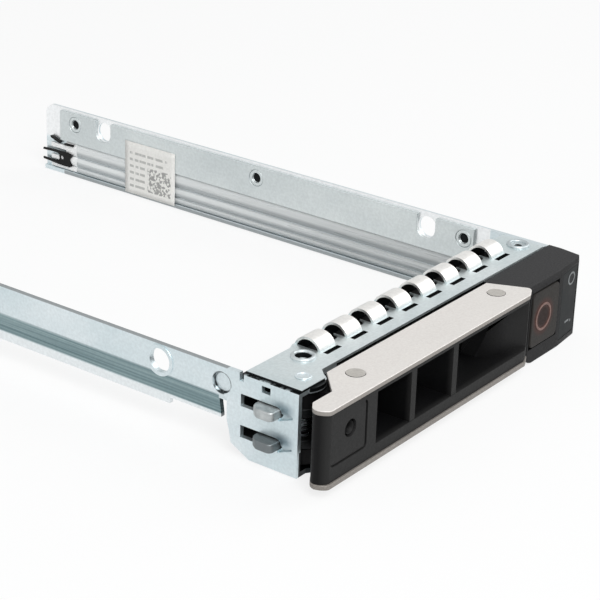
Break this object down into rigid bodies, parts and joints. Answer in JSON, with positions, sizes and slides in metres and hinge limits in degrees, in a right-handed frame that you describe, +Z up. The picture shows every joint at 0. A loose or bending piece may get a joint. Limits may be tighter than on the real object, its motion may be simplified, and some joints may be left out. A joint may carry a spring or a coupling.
{
  "type": "hot swap drive caddy",
  "caption": "Hot swap drive caddy: folded steel tray with two rails, spring contact cover, hinged black lever handle, release button and light guides.",
  "frame": {"origin": "on the resting plane, at the middle of the drive bay's width, at the tray's front left corner along the bay", "axes": "+X across the bay to the bezel's side, +Y rearward along the rails, +Z up from the tray's floor"},
  "size_m": [0.0761, 0.1276, 0.0158],
  "materials": {
    "zinc_steel": "zinc plated sheet steel, satin",
    "spring_steel": "bright plated spring steel",
    "lever_metal": "fine bead blasted steel, warm grey",
    "cast_metal": "die cast, dull grey",
    "black_plastic": "moulded, fine texture",
    "smoked_plastic": "smoked translucent, satin",
    "clear_plastic": "clear polycarbonate",
    "copper_ring": "printed metallic brown",
    "label_paper": "matt film label"
  },
  "bodies": {
    "tray": {"tray_frame": "zinc_steel", "inner_rail_plate": "zinc_steel", "rail_rivets": "zinc_steel", "spring_cover": "spring_steel", "cover_eyelets": "spring_steel", "pivot_pin": "spring_steel", "bezel_housing": "black_plastic", "lamp_window": "smoked_plastic", "light_guide_holder": "black_plastic", "light_guide_lower": "clear_plastic", "light_guide_middle": "clear_plastic", "light_guide_upper": "clear_plastic", "side_label": "label_paper", "lever_spring": "spring_steel", "catch_spring": "spring_steel"},
    "lever": {"lever_grille": "black_plastic", "lever_top_plate": "lever_metal", "lever_bottom_plate": "lever_metal", "lever_studs": "lever_metal", "upper_hook": "cast_metal", "lower_hook": "cast_metal"},
    "button": {"release_button": "black_plastic", "button_ring": "copper_ring"},
    "catch": {"latch_catch": "black_plastic"}
  },
  "joints": [
    {"name": "lever_hinge", "type": "hinge", "parent": "tray", "child": "lever", "pos_m": [-0.0321, 0.003, 0.007], "axis": [0, 0, -1], "range_deg": [0, 50], "deforming": ["lever_spring"]},
    {"name": "button_press", "type": "slide", "parent": "tray", "child": "button", "axis": [0, 1, 0], "range_m": [0, 0.0018], "stiffness_N_per_m": 200, "springref_m": -0.001},
    {"name": "catch_slide", "type": "slide", "parent": "tray", "child": "catch", "axis": [1, 0, 0], "range_m": [0, 0.0018], "deforming": ["catch_spring"]}
  ],
  "couplings": [
    {"joint": "catch_slide", "follows": "button_press", "ratio": 1}
  ]
}
